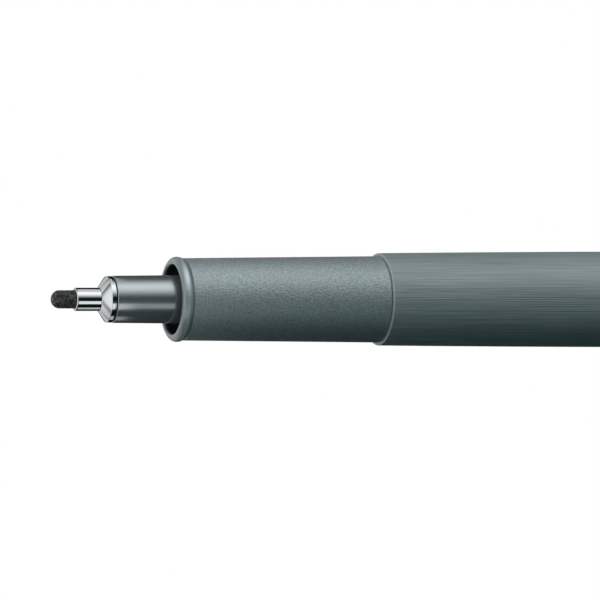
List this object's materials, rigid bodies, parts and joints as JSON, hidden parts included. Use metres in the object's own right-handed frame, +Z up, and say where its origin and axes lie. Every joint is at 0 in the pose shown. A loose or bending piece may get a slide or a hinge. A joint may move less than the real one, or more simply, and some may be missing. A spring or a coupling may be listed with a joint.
{
  "type": "technical pen",
  "caption": "Fibre-tip technical pen with a steel-sleeved nib, tapered grip section and slim barrel, its clip cap posted on the rear end.",
  "frame": {"origin": "on the surface that the pen lies on, under the centre of its bounding box", "axes": "+X runs along the pen from the nib to the capped rear end, +Z is up, and the clip of the cap is on the -Y side"},
  "size_m": [0.1586, 0.0116, 0.0105],
  "materials": {
    "nib_fibre": "compressed fibre soaked with dark ink, matt and slightly mottled",
    "wick_fibre": "bonded polyester fibre",
    "polished_steel": "mirror polished stainless steel",
    "slate_gloss": "smooth moulded plastic, glossy, slate grey",
    "slate_grained": "moulded plastic with a fine spark-eroded grain, slate grey",
    "slate_brushed": "moulded plastic with fine lengthwise drawn lines, satin, slate grey",
    "slate_satin": "moulded plastic, satin, slate grey",
    "clear_film": "thin clear film",
    "natural_plastic": "unpigmented moulded plastic, milky",
    "clip_steel": "bright spring steel strip, lightly drawn"
  },
  "bodies": {
    "pen": {"fibre_nib": "nib_fibre", "relay_wick": "wick_fibre", "nib_tube": "polished_steel", "nib_cone": "polished_steel", "nib_holder": "slate_gloss", "grip_section": "slate_grained", "barrel": "slate_brushed", "reservoir_core": "wick_fibre", "reservoir_film": "clear_film", "breather_tube": "natural_plastic", "end_plug": "slate_gloss"},
    "cap": {"cap_shell": "slate_satin", "cap_inner_seal": "natural_plastic", "cap_crown": "slate_gloss"},
    "clip": {"cap_clip": "clip_steel"}
  },
  "joints": [
    {"name": "cap_pull", "type": "slide", "parent": "pen", "child": "cap", "axis": [1, 0, 0], "range_m": [0, 0.03]},
    {"name": "clip_flex", "type": "hinge", "parent": "cap", "child": "clip", "pos_m": [0.07494, -0.00328, 0.00243], "axis": [0, -0.5946, 0.804], "range_deg": [0, 4], "stiffness_Nm_per_rad": 0.3}
  ]
}
